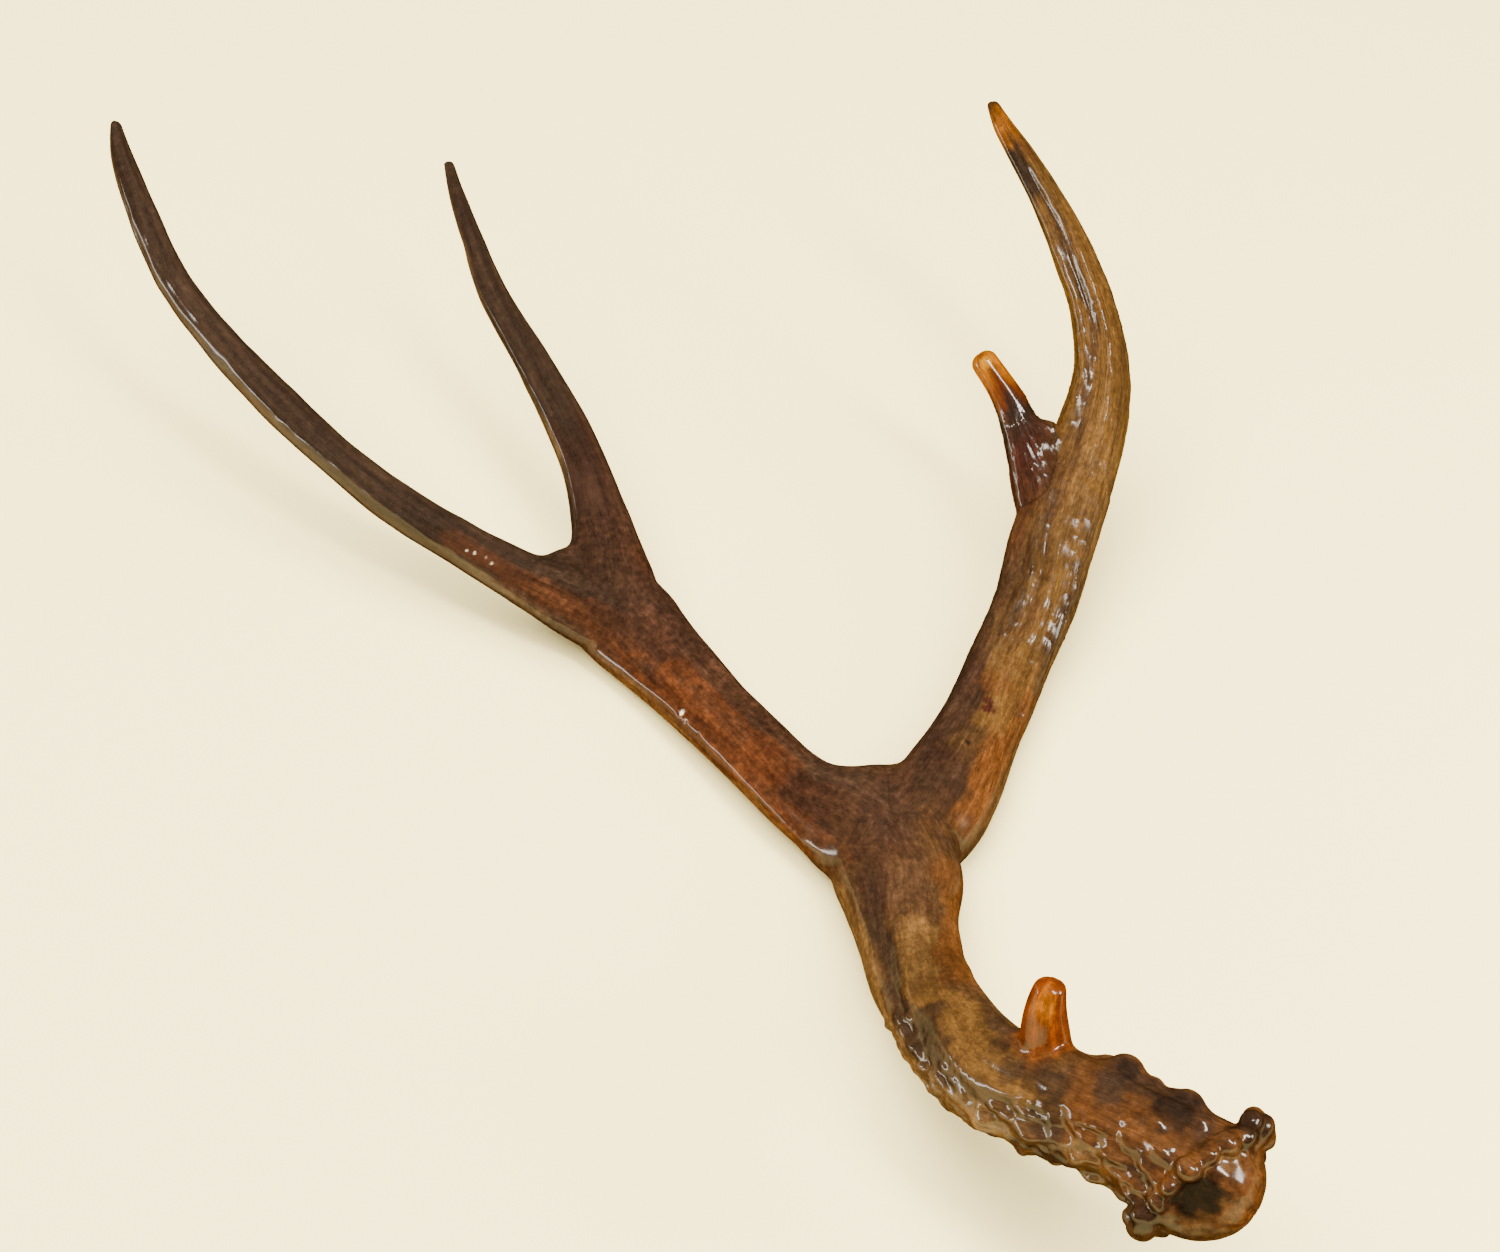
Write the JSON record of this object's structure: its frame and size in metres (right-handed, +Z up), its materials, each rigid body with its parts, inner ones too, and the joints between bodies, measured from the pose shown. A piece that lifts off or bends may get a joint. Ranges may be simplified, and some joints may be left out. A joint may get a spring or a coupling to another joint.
{
  "type": "deer antler",
  "caption": "Lacquered deer antler lying on its side: knobbed beam with a beaded burr and shed face, a short brow tine, and forked branches ending in curved tines.",
  "frame": {"origin": "on the resting surface, below the middle of the bounding box", "axes": "+Z up from the surface it lies on, +Y from the burr end towards the tines' tips, +X towards the burr and the right tine"},
  "size_m": [0.3832, 0.4292, 0.1126],
  "materials": {
    "burnished_brown": "glossy clear lacquer over brown stained, knobbed antler",
    "mahogany": "glossy clear lacquer over red-brown stained antler",
    "dark_chocolate": "glossy clear lacquer over dark brown stained antler",
    "tan_brown": "glossy clear lacquer over tan and brown streaked antler",
    "amber_mahogany": "glossy clear lacquer, dark at the root and amber at the worn end"
  },
  "bodies": {
    "root": {"lower_beam": "burnished_brown", "left_branch": "mahogany", "left_tine": "dark_chocolate", "middle_tine": "mahogany", "right_branch": "tan_brown", "right_tine": "tan_brown", "short_tine": "amber_mahogany"}
  },
  "joints": []
}
